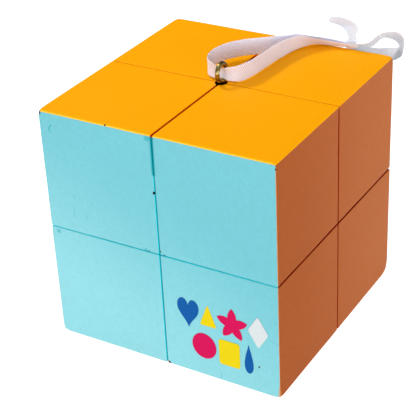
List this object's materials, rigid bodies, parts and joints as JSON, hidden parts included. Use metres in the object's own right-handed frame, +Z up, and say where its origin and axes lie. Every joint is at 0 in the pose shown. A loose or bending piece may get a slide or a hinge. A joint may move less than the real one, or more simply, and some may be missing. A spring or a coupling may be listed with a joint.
{
  "type": "twisty puzzle cube",
  "caption": "Painted twisty puzzle cube of hollow corner cubies round a hidden ball mechanism, with a gold eye screw and a satin ribbon for hanging.",
  "frame": {"origin": "middle of the base, on the surface it stands on", "axes": "+Z up, -Y out of the aqua front, +X out of the terracotta right side"},
  "size_m": [0.051, 0.0565, 0.0564],
  "materials": {
    "paint_orange": "satin paint over black plastic",
    "paint_aqua": "satin paint over black plastic",
    "paint_terracotta": "satin paint over black plastic",
    "black_plastic": "moulded, unpainted",
    "white_plastic": "moulded nylon",
    "steel": "bright zinc",
    "gold": "polished gold plating",
    "white_satin": "ribbed satin ribbon"
  },
  "bodies": {
    "lower_layer": {"centre_back": "black_plastic", "centre_bottom": "black_plastic", "centre_front": "black_plastic", "centre_left": "black_plastic", "centre_right": "black_plastic", "core": "white_plastic", "cubie_bottom_back_left": "paint_terracotta", "cubie_bottom_back_right": "paint_terracotta", "cubie_bottom_front_left": "paint_aqua", "cubie_bottom_front_right": "paint_aqua", "edge_back_left": "black_plastic", "edge_back_right": "black_plastic", "edge_bottom_back": "black_plastic", "edge_bottom_front": "black_plastic", "edge_bottom_left": "black_plastic", "edge_bottom_right": "black_plastic", "edge_front_left": "black_plastic", "edge_front_right": "black_plastic", "eye_screw": "gold", "foot_bottom_back_left": "black_plastic", "foot_bottom_back_right": "black_plastic", "foot_bottom_front_left": "black_plastic", "foot_bottom_front_right": "black_plastic", "screw_back": "steel", "screw_bottom": "steel", "screw_front": "steel", "screw_left": "steel", "screw_right": "steel", "spring_back": "steel", "spring_bottom": "steel", "spring_front": "steel", "spring_left": "steel", "spring_right": "steel", "spring_top": "steel", "washer_back": "steel", "washer_bottom": "steel", "washer_front": "steel", "washer_left": "steel", "washer_right": "steel", "washer_top": "steel"},
    "upper_layer": {"centre_top": "black_plastic", "cubie_top_back_left": "paint_orange", "cubie_top_back_right": "paint_orange", "cubie_top_front_left": "paint_orange", "cubie_top_front_right": "paint_orange", "edge_top_back": "black_plastic", "edge_top_front": "black_plastic", "edge_top_left": "black_plastic", "edge_top_right": "black_plastic", "foot_top_back_left": "black_plastic", "foot_top_back_right": "black_plastic", "foot_top_front_left": "black_plastic", "foot_top_front_right": "black_plastic"},
    "ribbon": {"ribbon_loop": "white_satin", "ribbon_bow": "white_satin", "ribbon_tail": "white_satin", "ribbon_knot": "white_satin"}
  },
  "joints": [
    {"name": "upper_layer_turn", "type": "hinge", "parent": "lower_layer", "child": "upper_layer", "pos_m": [0, 0, 0.025], "axis": [0, 0, 1], "continuous": true},
    {"name": "ribbon_lift", "type": "hinge", "parent": "lower_layer", "child": "ribbon", "pos_m": [0, 0, 0.05215], "axis": [1, 0, 0], "range_deg": [0, 100]}
  ]
}
